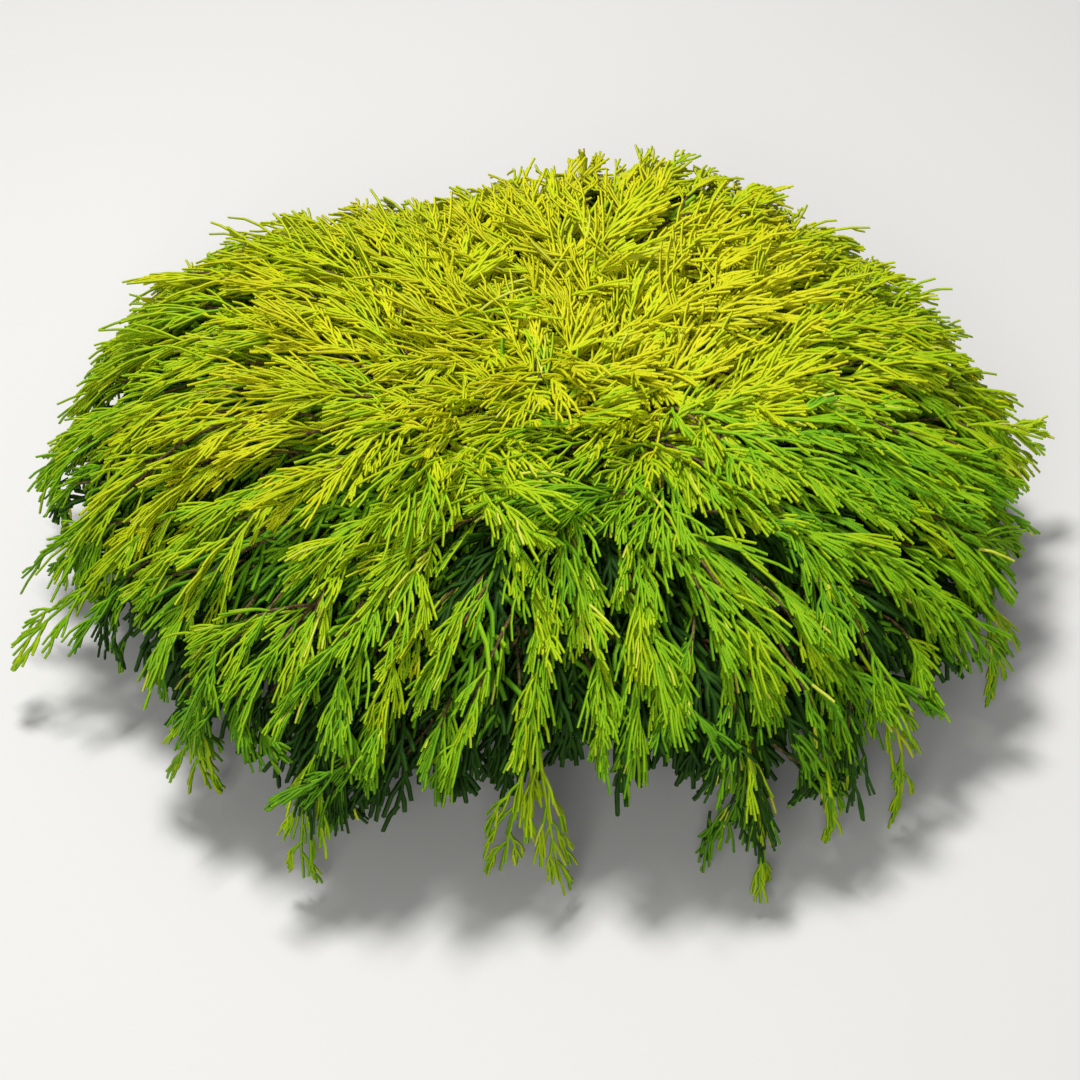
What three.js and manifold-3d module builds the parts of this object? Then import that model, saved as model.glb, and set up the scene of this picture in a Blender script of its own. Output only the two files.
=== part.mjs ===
// King's gold sawara cypress: a low, wide mop of gold thread foliage on a short flared stem.
// Millimetres, +Z up. The origin is the middle of the flat cut under the trunk, at ground level.
// The side that the plant is seen from is -Y.
import * as THREE from "three";
import { mergeVertices } from "three/addons/utils/BufferGeometryUtils.js";
import Module from "manifold-3d";

const wasm = await Module();
wasm.setup();

const TAU = Math.PI * 2;
const CLEARANCE = 0.3; // between pieces that carry each other

// The crown's own shape. A meridian runs from the top (u = 0) over the shoulder to the rim (u = 1)
// and on down the hanging skirt. Every 30 degrees of azimuth, right side first and anticlockwise,
// the crown has its own reach, its own lowest tips, and its own end of the dense foliage,
// past which the sprays hang apart.
const crown = {
  top: 285,
  rimHeight: 96,
  squareness: 2.1,
  reach: [390, 394, 408, 396, 372, 430, 430, 392, 378, 328, 350, 374],
  lowestTip: [46, 58, 52, 60, 54, 48, 40, 34, 18, 14, 14, 24],
  denseEnd: [0.95, 0.97, 0.97, 0.97, 0.97, 0.97, 0.94, 0.9, 0.84, 0.81, 0.83, 0.88],
  skirtEnd: 1.34,
  skirtTuck: 0.05,
};

// Long single sprays that hang or reach past the rest: azimuth in degrees, reach and height in mm.
const trailers = [
  { azimuth: 12, reach: 424, tipHeight: 118 },
  { azimuth: 87, reach: 404, tipHeight: 178 },
  { azimuth: 137, reach: 412, tipHeight: 150 },
  { azimuth: 171, reach: 446, tipHeight: 84 },
  { azimuth: 197, reach: 470, tipHeight: 62 },
  { azimuth: 221, reach: 372, tipHeight: 22 },
  { azimuth: 239, reach: 386, tipHeight: 20 },
  { azimuth: 262, reach: 326, tipHeight: 22 },
  { azimuth: 271, reach: 338, tipHeight: 10 },
  { azimuth: 296, reach: 368, tipHeight: 10 },
  { azimuth: 307, reach: 358, tipHeight: 22 },
  { azimuth: 317, reach: 374, tipHeight: 18 },
  { azimuth: 339, reach: 386, tipHeight: 22 },
];

const trunk = {
  height: 92,
  sides: 14,
  lean: new THREE.Vector2(7, -5),
  cutSlope: 3, // how far a ring's edge may stand off its cut before it is levelled
  // height above the ground, radius
  profile: [
    [0, 31],
    [5, 26],
    [14, 21.5],
    [30, 18.5],
    [60, 16.5],
    [92, 13],
  ],
};

// The stem that goes on above the trunk, inside the top mass, from its foot to its tip.
const leader = { radii: [11, 8.5, 5], sides: 8 };

// Each ring of foliage: its stretch of the meridian, its masses, the range of heights over the
// crown's surface at which its sprays end, and the boughs that carry its masses.
const rings = [
  { name: "top", from: 0, to: 0.3, masses: 1, turn: 0, rows: 3, columns: 7, seed: 11,
    tipRise: [6, 25], lengthShare: 0.86 },
  { name: "mid", from: 0.3, to: 0.63, masses: 6, turn: 30, rows: 3, columns: 5, seed: 23,
    tipRise: [-4, 13], lengthShare: 1, boughHeights: [72, 72], boughRadius: 6.2 },
  { name: "rim", from: 0.63, to: 0.97, masses: 12, turn: 0, rows: 3, columns: 3, seed: 37,
    tipRise: [-4, 11], lengthShare: 1, boughHeights: [30, 50], boughRadius: 5.6 },
];

// A bough is one curve from the trunk's axis to the heart of its mass. It leaves the trunk and
// comes to the heart at its own slopes, and the last part of the curve is the mass's own stem.
const bough = {
  sides: 5,
  steps: 6,
  stemSteps: 3,
  end: 0.72, // share of the curve where the bough ends and the stem begins
  taper: 0.62, // share of the radius that is lost along the whole curve
  heartDepth: 0.45, // share of the core's thickness that the heart lies under the core's top
  leaving: { run: 0.35, rise: 0.3 },
  coming: { run: 0.3, rise: 0.18 },
};

const core = {
  topDepth: 17,
  thickness: 40,
  widthSegments: 16,
  heightSegments: 4,
  squareness: 8,
  sideGap: 3.2,
  lump: { height: 4, alongX: 17, alongY: 13 },
};

// Upper masses lie over the next ring like shingles: their outer layer reaches this much further.
const shingle = { reach: 0.1, layer: 20 };

const spray = {
  length: [80, 122],
  rootSink: 10,
  rootRadius: 2.8,
  neckRadius: 2.2,
  bends: [0, 0.35, 0.7, 1], // shares of its length
  riseEase: 0.6, // under 1 it comes up out of the core early
  leastReach: 40, // near the crown's axis a spray turns as if it were this far out
  drift: 9,
  sideCords: 2,
  sideStart: 0.3,
  sideStep: 0.24,
  sideJitter: 0.5,
  sideLength: 0.36,
  sideSpread: 0.5,
  sideRise: [-4, 5],
  sideRadius: 1.3,
  sideMargin: 2.6,
  ringMargin: 7,
};

// The jittered grid of the sprays' roots over a mass, as shares of a row or a column.
const rootGrid = {
  rowStart: 0.15,
  rowJitter: 0.6,
  columnJitter: 0.6,
  width: 0.86, // of the cell's own width
  depth: [0.06, 0.94], // from the cell's inner to its outer edge
  wholeRing: [0.6, 0.7], // how many more columns each row of a whole ring has: first, and gain
};

const trailerShape = {
  rootBack: 0.12, // of u, above the lower edge of the core
  shoulderDepth: 6,
  bow: 0.12, // how far it bows outward, for its hanging length
  forks: [{ at: 0.1, side: 1 }, { at: 0.45, side: -1 }],
  forkLength: 0.42,
  forkSpread: 0.45,
};

const colours = {
  gold: "#b4bd28",
  lime: "#8fae2a",
  green: "#6f9a2c",
  bark: "#6b5443",
};

// A small seeded generator, so that the plant grows the same way each time.
function seededRandom(seed) {
  let state = seed >>> 0;
  return () => {
    state = (state + 0x6d2b79f5) >>> 0;
    let mixed = Math.imul(state ^ (state >>> 15), 1 | state);
    mixed = (mixed + Math.imul(mixed ^ (mixed >>> 7), 61 | mixed)) ^ mixed;
    return ((mixed ^ (mixed >>> 14)) >>> 0) / 4294967296;
  };
}

const between = (random, [low, high]) => low + (high - low) * random();
const radians = THREE.MathUtils.degToRad;

// A value given every 30 degrees, eased round the plant.
function roundThePlant(values, azimuth) {
  const place = (((azimuth / TAU) % 1) + 1) % 1 * values.length;
  const index = Math.floor(place);
  const share = THREE.MathUtils.smoothstep(place - index, 0, 1);
  const next = values[(index + 1) % values.length];
  return THREE.MathUtils.lerp(values[index % values.length], next, share);
}

// Radius and height of the crown's outer surface at one azimuth, along the meridian.
function meridian(azimuth, u) {
  const reach = roundThePlant(crown.reach, azimuth);
  const rim = crown.rimHeight;
  if (u <= 1) {
    const angle = (Math.max(u, 0) * Math.PI) / 2;
    const power = 2 / crown.squareness;
    return new THREE.Vector2(
      reach * Math.sin(angle) ** power,
      rim + (crown.top - rim) * Math.cos(angle) ** power,
    );
  }
  const down = (u - 1) / (crown.skirtEnd - 1);
  const lowest = roundThePlant(crown.lowestTip, azimuth);
  return new THREE.Vector2(
    reach * (1 - crown.skirtTuck * down * down),
    THREE.MathUtils.lerp(rim, lowest, down),
  );
}

// The point at a height (out of the crown, along its normal) over a place on the surface.
function placeOnCrown({ azimuth, u, height }) {
  const step = 0.01;
  const base = meridian(azimuth, u);
  const along = u < step
    ? new THREE.Vector2(1, 0)
    : meridian(azimuth, u + step).sub(meridian(azimuth, u - step)).normalize();
  const radius = base.x - along.y * height;
  const z = base.y + along.x * height;
  return new THREE.Vector3(Math.cos(azimuth) * radius, Math.sin(azimuth) * radius, z);
}

// How many millimetres of meridian one unit of u is, near a place.
function millimetresPerU(azimuth, u) {
  const step = 0.02;
  const stretch = u < step ? u + step : 2 * step;
  return meridian(azimuth, u + step).distanceTo(meridian(azimuth, Math.max(u - step, 0))) / stretch;
}

// A shape of three.js with its shared corners merged, so that it stays closed when they move.
function closedShape(geometry) {
  geometry.deleteAttribute("normal");
  geometry.deleteAttribute("uv");
  return mergeVertices(geometry, 1e-4);
}

// A tapering limb: a closed cylinder whose rings are moved to the points of a path.
// A last radius of 0 gives it a pointed tip.
function limbGeometry(points, radii, sides) {
  const last = points.length - 1;
  const pointed = radii[last] === 0;
  const topRadius = pointed ? 0 : 1;
  const geometry = closedShape(new THREE.CylinderGeometry(topRadius, 1, 1, sides, last));
  const path = new THREE.CatmullRomCurve3(points);
  const tangents = points.map((_, i) => path.getTangent(i / last));
  const side = new THREE.Vector3(0, 0, 1);
  if (Math.abs(tangents[0].z) > 0.9) side.set(1, 0, 0);
  const frames = tangents.map((tangent) => {
    side.addScaledVector(tangent, -side.dot(tangent)).normalize();
    return { normal: side.clone(), binormal: side.clone().cross(tangent) };
  });
  const position = geometry.getAttribute("position");
  const vertex = new THREE.Vector3();
  for (let i = 0; i < position.count; i++) {
    vertex.fromBufferAttribute(position, i);
    const ring = Math.round((vertex.y + 0.5) * last);
    const flat = Math.hypot(vertex.x, vertex.z);
    const onAxis = flat < 1e-6 || (pointed && ring === last);
    const scale = onAxis ? 0 : radii[ring] / flat;
    const { normal, binormal } = frames[ring];
    const across = vertex.x * scale;
    const aside = vertex.z * scale;
    vertex.copy(points[ring]).addScaledVector(normal, across).addScaledVector(binormal, aside);
    position.setXYZ(i, vertex.x, vertex.y, vertex.z);
  }
  return geometry;
}

function solidFrom(geometry) {
  const mesh = new wasm.Mesh({
    numProp: 3,
    vertProperties: geometry.getAttribute("position").array,
    triVerts: new Uint32Array(geometry.index.array),
  });
  return new wasm.Manifold(mesh);
}

// Back to a geometry: the largest closed skin only, so sealed hollows are filled
// and loose scraps are dropped.
function geometryFrom(solid) {
  const skins = solid.decompose().sort((a, b) => b.volume() - a.volume());
  const { numProp, vertProperties, triVerts } = skins[0].getMesh();
  const position = new Float32Array((vertProperties.length / numProp) * 3);
  for (let i = 0; i < position.length / 3; i++) {
    position.set(vertProperties.subarray(i * numProp, i * numProp + 3), i * 3);
  }
  const geometry = new THREE.BufferGeometry();
  geometry.setAttribute("position", new THREE.BufferAttribute(position, 3));
  geometry.setIndex(new THREE.BufferAttribute(triVerts, 1));
  geometry.computeVertexNormals();
  return geometry;
}

function namedMesh(name, geometry, colour, roughness) {
  const material = new THREE.MeshStandardMaterial({ color: colour, roughness, metalness: 0 });
  const mesh = new THREE.Mesh(geometry, material);
  mesh.name = name;
  return mesh;
}

// The trunk: a short leaning stem with a root flare, cut flat at the ground.
function trunkAxis(height) {
  const share = height / trunk.height;
  return new THREE.Vector3(trunk.lean.x * share ** 2, trunk.lean.y * share ** 2, height);
}

function trunkGeometry(extraRadius, extraHeight) {
  const points = trunk.profile.map(([height]) => trunkAxis(height));
  points[points.length - 1].z += extraHeight;
  const radii = trunk.profile.map(([, radius]) => radius + extraRadius);
  const upright = limbGeometry(points, radii, trunk.sides);
  levelEnd(upright, points[0].z);
  levelEnd(upright, points[points.length - 1].z);
  return upright;
}

// Levels the ring at one end of the trunk, so that its cut is flat.
function levelEnd(geometry, height) {
  const position = geometry.getAttribute("position");
  for (let i = 0; i < position.count; i++) {
    if (Math.abs(position.getZ(i) - height) < trunk.cutSlope) position.setZ(i, height);
  }
}

// One cell of a ring: the space that its mass keeps to.
function cellOf(ring, index) {
  const width = TAU / ring.masses;
  return {
    ring,
    index,
    width,
    middle: radians(ring.turn) + index * width,
    from: ring.from,
    to: Math.min(ring.to, roundThePlant(crown.denseEnd, radians(ring.turn) + index * width)),
    whole: ring.masses === 1,
    last: ring === rings[rings.length - 1],
  };
}

// How far the shingled layer of the upper ring reaches over the lower one at a height.
function shingleReach(height) {
  const share = (height + shingle.layer) / shingle.layer;
  return shingle.reach * THREE.MathUtils.clamp(share, 0, 1.5);
}

function turnedFrom(middle, azimuth) {
  return ((((azimuth - middle) / TAU + 0.5) % 1) + 1) % 1 * TAU - Math.PI;
}

function insideCell(cell, place) {
  const reach = Math.max(meridian(place.azimuth, place.u).x, 1);
  const ringMargin = spray.ringMargin / millimetresPerU(place.azimuth, place.u);
  const overlap = shingleReach(place.height);
  if (!cell.whole) {
    const room = cell.width / 2 - spray.sideMargin / reach;
    if (Math.abs(turnedFrom(cell.middle, place.azimuth)) > room) return false;
    if (place.u < cell.from + overlap + ringMargin) return false;
  }
  return cell.last || place.u < cell.to + overlap - ringMargin;
}

// The dense heart of a mass: a rounded cushion inside its cell, under the sprays.
function coreGeometry(cell) {
  const ball = new THREE.SphereGeometry(1, core.widthSegments, core.heightSegments);
  const geometry = closedShape(ball);
  const position = geometry.getAttribute("position");
  const middleU = (cell.from + cell.to) / 2;
  for (let i = 0; i < position.count; i++) {
    const unit = new THREE.Vector3().fromBufferAttribute(position, i);
    const power = core.squareness;
    const size = (Math.abs(unit.x) ** power + Math.abs(unit.y) ** power +
      Math.abs(unit.z) ** power) ** (1 / power);
    unit.divideScalar(size);
    // The sphere's own axis runs across the cushion's thickness.
    const height = -core.topDepth - (core.thickness / 2) * (1 - unit.y);
    position.setXYZ(i, ...corePoint(cell, middleU, unit, height).toArray());
  }
  return geometry;
}

function corePoint(cell, middleU, unit, height) {
  if (cell.whole) {
    const azimuth = Math.atan2(-unit.z, unit.x);
    const gap = core.sideGap / millimetresPerU(azimuth, cell.to);
    const u = Math.min(Math.hypot(unit.x, unit.z), 1) * (cell.to - gap);
    return lumpy(placeOnCrown({ azimuth, u, height }), unit.y);
  }
  const gapU = core.sideGap / millimetresPerU(cell.middle, middleU);
  const u = middleU - unit.z * ((cell.to - cell.from) / 2 - gapU);
  const outward = meridian(cell.middle, u).x - core.topDepth;
  const half = cell.width / 2 - core.sideGap / Math.max(outward, 1);
  return lumpy(placeOnCrown({ azimuth: cell.middle - unit.x * half, u, height }), unit.y);
}

// Low swells on the top of a core.
function lumpy(point, upness) {
  const swell = Math.sin(point.x / core.lump.alongX) * Math.sin(point.y / core.lump.alongY + 1);
  point.z += core.lump.height * swell * Math.max(upness, 0);
  return point;
}

// One spray: a main cord from its root in the core to its tip, and forked side cords.
// Its way is worked out in crown places, so it follows the dome and hangs past the rim.
function sprayPlaces(root, length, tipHeight, drift) {
  const perU = millimetresPerU(root.azimuth, root.u);
  const stretch = length / perU;
  const reach = Math.max(meridian(root.azimuth, root.u + stretch).x, spray.leastReach);
  return spray.bends.map((share) => ({
    azimuth: root.azimuth + (drift / reach) * share,
    u: Math.min(root.u + stretch * share, crown.skirtEnd),
    height: THREE.MathUtils.lerp(root.height, tipHeight, share ** spray.riseEase),
  }));
}

function betweenPlaces(a, b, share) {
  return {
    azimuth: THREE.MathUtils.lerp(a.azimuth, b.azimuth, share),
    u: THREE.MathUtils.lerp(a.u, b.u, share),
    height: THREE.MathUtils.lerp(a.height, b.height, share),
  };
}

// True where a straight run from one place to the next stays in the mass's own space.
function runFits(cell, from, to) {
  return [0, 0.25, 0.5, 0.75, 1].every((share) => {
    const place = betweenPlaces(from, to, share);
    const deep = place.height < -core.topDepth;
    return deep || (insideCell(cell, place) && placeOnCrown(place).z > spray.rootRadius);
  });
}

function sideCordPlaces(main, share, side, length, random) {
  const place = share * (main.length - 1);
  const index = Math.min(Math.floor(place), main.length - 2);
  const start = betweenPlaces(main[index], main[index + 1], place - index);
  const reach = Math.max(meridian(start.azimuth, start.u).x, spray.leastReach);
  const along = (length * Math.cos(spray.sideSpread)) / millimetresPerU(start.azimuth, start.u);
  const across = (length * Math.sin(spray.sideSpread)) / reach;
  const end = {
    azimuth: start.azimuth + side * across,
    u: Math.min(start.u + along, crown.skirtEnd),
    height: start.height + between(random, spray.sideRise),
  };
  return [start, end];
}

function sprayPieces(cell, root, random) {
  const length = between(random, spray.length) * cell.ring.lengthShare;
  const tipHeight = between(random, cell.ring.tipRise);
  const drift = spray.drift * (random() - 0.5) * 2;
  const main = sprayPlaces(root, length, tipHeight, drift);
  for (let i = 1; i < main.length; i++) {
    if (!runFits(cell, main[i - 1], main[i])) return [];
  }
  const radii = [spray.rootRadius, spray.rootRadius, spray.neckRadius, 0];
  const pieces = [limbGeometry(main.map(placeOnCrown), radii, 3)];
  let side = random() < 0.5 ? 1 : -1;
  for (let i = 0; i < spray.sideCords; i++) {
    const share = spray.sideStart + spray.sideStep * (i + spray.sideJitter * random());
    const [start, end] = sideCordPlaces(main, share, side, length * spray.sideLength, random);
    side = -side;
    if (!runFits(cell, start, end)) continue;
    pieces.push(limbGeometry([start, end].map(placeOnCrown), [spray.sideRadius, 0], 3));
  }
  return pieces;
}

// The roots of a mass's sprays: a jittered grid over its cell, from its inner to its outer edge.
function sprayRoots(cell, random) {
  const { rows, columns } = cell.ring;
  const [firstRow, gain] = rootGrid.wholeRing;
  const roots = [];
  for (let row = 0; row < rows; row++) {
    const share = (row + rootGrid.rowStart + rootGrid.rowJitter * random()) / rows;
    const columnsHere = cell.whole ? Math.round(columns * (firstRow + row * gain)) : columns;
    const turn = random();
    for (let column = 0; column < columnsHere; column++) {
      const across = (column + 0.5 + rootGrid.columnJitter * (random() - 0.5)) / columnsHere;
      const azimuth = cell.whole ? (across + turn) * TAU
        : cell.middle + (across - 0.5) * cell.width * rootGrid.width;
      const u = THREE.MathUtils.lerp(cell.from, cell.to, THREE.MathUtils.lerp(...rootGrid.depth, share));
      roots.push({ azimuth, u, height: -core.topDepth - spray.rootSink });
    }
  }
  return roots;
}

// The trailers whose azimuth lies in a rim cell, rooted near the lower edge of its core.
function trailerPieces(cell) {
  const pieces = [];
  for (const trailer of trailers) {
    const azimuth = radians(trailer.azimuth);
    if (!cell.last || Math.abs(turnedFrom(cell.middle, azimuth)) > cell.width / 2) continue;
    const rootHeight = -core.topDepth - spray.rootSink;
    const root = placeOnCrown({ azimuth, u: cell.to - trailerShape.rootBack, height: rootHeight });
    const shoulder = placeOnCrown({ azimuth, u: cell.to, height: -trailerShape.shoulderDepth });
    const outward = new THREE.Vector3(Math.cos(azimuth), Math.sin(azimuth), 0);
    const tip = outward.clone().multiplyScalar(trailer.reach).setZ(trailer.tipHeight);
    const bend = shoulder.clone().lerp(tip, 0.5);
    bend.addScaledVector(outward, trailerShape.bow * shoulder.distanceTo(tip));
    const points = [root, shoulder, bend, tip];
    const radii = [spray.rootRadius, spray.rootRadius, spray.neckRadius, 0];
    pieces.push(limbGeometry(points, radii, 3));
    pieces.push(...trailerForks(points, azimuth));
  }
  return pieces;
}

// Two short cords that fork off the last stretch of a trailer.
function trailerForks(points, azimuth) {
  const aside = new THREE.Vector3(-Math.sin(azimuth), Math.cos(azimuth), 0);
  const [, , bend, tip] = points;
  return trailerShape.forks.map(({ at, side }) => {
    const start = bend.clone().lerp(tip, at);
    const run = tip.clone().sub(bend).multiplyScalar(trailerShape.forkLength);
    const end = start.clone().add(run);
    end.addScaledVector(aside, side * run.length() * trailerShape.forkSpread);
    end.z = Math.max(end.z, spray.rootRadius);
    return limbGeometry([start, end], [spray.sideRadius, 0], 3);
  });
}

// The way from the trunk to the heart of a mass, as one arching curve.
function boughCurve(cell) {
  const heart = placeOnCrown({
    azimuth: cell.middle,
    u: (cell.from + cell.to) / 2,
    height: -core.topDepth - core.thickness * bough.heartDepth,
  });
  const height = cell.ring.boughHeights[cell.index % 2];
  const start = trunkAxis(height);
  const outward = new THREE.Vector3(Math.cos(cell.middle), Math.sin(cell.middle), 0);
  const span = Math.hypot(heart.x - start.x, heart.y - start.y);
  const first = start.clone().addScaledVector(outward, span * bough.leaving.run);
  first.z += (heart.z - height) * bough.leaving.rise;
  const second = heart.clone().addScaledVector(outward, -span * bough.coming.run);
  second.z -= (heart.z - height) * bough.coming.rise;
  return new THREE.CubicBezierCurve3(start, first, second, heart);
}

// A stretch of a bough's curve as a tapering limb.
function stretchOf(curve, from, to, radius, steps) {
  const points = [];
  const radii = [];
  for (let i = 0; i <= steps; i++) {
    const share = from + ((to - from) * i) / steps;
    points.push(curve.getPoint(share));
    radii.push(radius * (1 - bough.taper * share));
  }
  return limbGeometry(points, radii, bough.sides);
}

function boughGeometry(cell) {
  const curve = boughCurve(cell);
  const whole = solidFrom(stretchOf(curve, 0, bough.end, cell.ring.boughRadius, bough.steps));
  const cut = solidFrom(trunkGeometry(CLEARANCE, CLEARANCE));
  return geometryFrom(whole.subtract(cut));
}

function stemGeometry(cell) {
  if (cell.whole) {
    const foot = trunkAxis(trunk.height);
    foot.z = trunk.height + CLEARANCE;
    const heart = new THREE.Vector3(foot.x, foot.y, crown.top - core.topDepth - core.thickness / 2);
    const middle = foot.clone().lerp(heart, 0.5);
    return limbGeometry([foot, middle, heart], leader.radii, leader.sides);
  }
  const curve = boughCurve(cell);
  const gap = CLEARANCE / curve.getLength();
  return stretchOf(curve, bough.end + gap, 1, cell.ring.boughRadius, bough.stemSteps);
}

// One mass: its stem and its core, with the sprays that stand out of the core, fused.
function massGeometry(cell) {
  const random = seededRandom(cell.ring.seed * 1000 + cell.index);
  const pieces = [stemGeometry(cell), coreGeometry(cell)];
  for (const root of sprayRoots(cell, random)) pieces.push(...sprayPieces(cell, root, random));
  pieces.push(...trailerPieces(cell));
  return geometryFrom(wasm.Manifold.union(pieces.map(solidFrom)));
}

function nameOf(kind, cell) {
  if (cell.whole) return `${kind}_${cell.ring.name}`;
  return `${kind}_${cell.ring.name}_${String(cell.index + 1).padStart(2, "0")}`;
}

function colourOf(cell) {
  if (cell.whole) return colours.gold;
  return cell.last ? colours.green : colours.lime;
}

const plant = new THREE.Group();
plant.add(namedMesh("trunk", trunkGeometry(0, 0), colours.bark, 0.9));
for (const ring of rings) {
  for (let index = 0; index < ring.masses; index++) {
    const cell = cellOf(ring, index);
    if (!cell.whole) {
      plant.add(namedMesh(nameOf("bough", cell), boughGeometry(cell), colours.bark, 0.88));
    }
    plant.add(namedMesh(nameOf("foliage", cell), massGeometry(cell), colourOf(cell), 0.7));
  }
}

export default plant;
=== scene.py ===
import math

import bpy
import numpy as np
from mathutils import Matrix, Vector


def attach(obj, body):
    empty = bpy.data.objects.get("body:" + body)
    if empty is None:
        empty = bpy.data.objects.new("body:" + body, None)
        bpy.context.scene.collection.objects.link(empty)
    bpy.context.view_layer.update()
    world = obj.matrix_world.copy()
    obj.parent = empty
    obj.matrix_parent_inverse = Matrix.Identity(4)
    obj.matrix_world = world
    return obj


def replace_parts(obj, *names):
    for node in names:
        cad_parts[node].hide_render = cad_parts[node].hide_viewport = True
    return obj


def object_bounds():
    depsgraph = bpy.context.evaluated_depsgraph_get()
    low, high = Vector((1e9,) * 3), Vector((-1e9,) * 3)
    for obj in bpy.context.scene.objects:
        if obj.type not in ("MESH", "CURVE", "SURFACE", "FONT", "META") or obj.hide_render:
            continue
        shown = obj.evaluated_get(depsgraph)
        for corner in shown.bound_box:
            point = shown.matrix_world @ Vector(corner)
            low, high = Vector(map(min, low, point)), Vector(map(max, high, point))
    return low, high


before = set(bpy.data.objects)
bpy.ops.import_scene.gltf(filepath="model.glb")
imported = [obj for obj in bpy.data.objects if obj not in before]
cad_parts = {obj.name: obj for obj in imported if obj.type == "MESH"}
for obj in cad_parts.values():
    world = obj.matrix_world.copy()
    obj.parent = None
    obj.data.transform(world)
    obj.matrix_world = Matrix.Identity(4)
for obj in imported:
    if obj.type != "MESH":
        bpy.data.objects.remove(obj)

cadBox = [list(corner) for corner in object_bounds()]
tau = 2 * math.pi

# The crown's own shape, in metres, as in the model: a meridian runs from the top (u = 0) over
# the shoulder to the rim (u = 1) and down the hanging skirt. Each list goes round the plant
# in steps of 30 degrees, right side first and anticlockwise.
crownShape = {
    "top": 0.285,
    "rimHeight": 0.096,
    "squareness": 2.1,  # the more, the fuller the shoulder
    "reach": [0.390, 0.394, 0.408, 0.396, 0.372, 0.430, 0.430, 0.392, 0.378, 0.328, 0.350, 0.374],
    "lowestTip": [0.046, 0.058, 0.052, 0.060, 0.054, 0.048, 0.040, 0.034, 0.018, 0.014, 0.014, 0.024],
    "denseEnd": [0.95, 0.97, 0.97, 0.97, 0.97, 0.97, 0.94, 0.90, 0.84, 0.81, 0.83, 0.88],
    "skirtEnd": 1.34,
    "skirtTuck": 0.05,  # how far the skirt's end comes in, for its reach
}

# Long sprays that hang or reach past the rest, as in the model: azimuth, reach, tip height.
trailers = [
    (12, 0.424, 0.118),
    (87, 0.404, 0.178),
    (137, 0.412, 0.150),
    (171, 0.446, 0.084),
    (197, 0.470, 0.062),
    (221, 0.372, 0.022),
    (239, 0.386, 0.020),
    (262, 0.326, 0.022),
    (271, 0.338, 0.010),
    (296, 0.368, 0.010),
    (307, 0.358, 0.022),
    (317, 0.374, 0.018),
    (339, 0.386, 0.022),
]

# The model's foliage masses, ring by ring, each between two places on the meridian.
rings = {
    "top": {"from": 0.0, "to": 0.30, "masses": 1, "turn": 0, "twigRows": 3, "twigColumns": 6},
    "mid": {"from": 0.30, "to": 0.63, "masses": 6, "turn": 30, "twigRows": 3, "twigColumns": 4,
            "boughHeights": (0.072, 0.072), "boughRadius": 0.0062},
    "rim": {"from": 0.63, "to": 0.97, "masses": 12, "turn": 0, "twigRows": 3, "twigColumns": 3,
            "boughHeights": (0.030, 0.050), "boughRadius": 0.0056},
}

trunkShape = {
    "lean": (0.007, -0.005),
    "profile": [(0.000, 0.0310), (0.005, 0.0260), (0.014, 0.0215), (0.030, 0.0185),
                (0.060, 0.0165), (0.092, 0.0130)],
}


def smooth(share):
    return share * share * (3 - 2 * share)


def ramp(value, start, end):
    return smooth(np.clip((value - start) / (end - start), 0, 1))


def bell(azimuth, degrees, halfWidth):
    # 1 at one azimuth, and less and less away from it
    away = (np.degrees(azimuth) - degrees + 180) % 360 - 180
    return np.exp(-(away / halfWidth) ** 2)


def roundThePlant(values, azimuth):
    values = np.asarray(values)
    place = (azimuth / tau % 1) * len(values)
    index = np.floor(place).astype(int) % len(values)
    share = smooth(place - np.floor(place))
    return values[index] * (1 - share) + values[(index + 1) % len(values)] * share


def meridian(azimuth, u):
    reach = roundThePlant(crownShape["reach"], azimuth)
    rim = crownShape["rimHeight"]
    angle = np.clip(u, 0, 1) * math.pi / 2
    power = 2 / crownShape["squareness"]
    radius = reach * np.sin(angle) ** power
    height = rim + (crownShape["top"] - rim) * np.clip(np.cos(angle), 0, 1) ** power
    down = np.clip((u - 1) / (crownShape["skirtEnd"] - 1), 0, None)
    lowest = roundThePlant(crownShape["lowestTip"], azimuth)
    radius = radius * (1 - crownShape["skirtTuck"] * down ** 2)
    return radius, height + (lowest - rim) * down


def placeOnCrown(azimuth, u, height):
    # the point at a height, along the crown's own normal, over a place on its surface
    step = 0.01
    radius, z = meridian(azimuth, u)
    radiusAfter, zAfter = meridian(azimuth, u + step)
    radiusBefore, zBefore = meridian(azimuth, u - step)
    outward, upward = radiusAfter - radiusBefore, zAfter - zBefore
    size = np.hypot(outward, upward)
    flat = u < step
    outward = np.where(flat, 1, outward / size)
    upward = np.where(flat, 0, upward / size)
    radius = radius - upward * height
    return np.stack([np.cos(azimuth) * radius, np.sin(azimuth) * radius,
                     z + outward * height], axis=-1)


def normalised(vectors):
    return vectors / np.maximum(np.linalg.norm(vectors, axis=-1, keepdims=True), 1e-9)


# Materials

def linearColour(red, green, blue):
    def channel(value):
        value = value / 255
        return value / 12.92 if value <= 0.04045 else ((value + 0.055) / 1.055) ** 2.4
    return (channel(red), channel(green), channel(blue), 1)


def addNode(tree, kind, values=(), **settings):
    node = tree.nodes.new(kind)
    for name, setting in settings.items():
        setattr(node, name, setting)
    for socket, value in dict(values).items():
        node.inputs[socket].default_value = value
    return node


def wire(tree, links):
    # each link: a node and its output, then a node and its input
    for source, output, target, socket in links:
        tree.links.new(source.outputs[output], target.inputs[socket])


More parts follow.
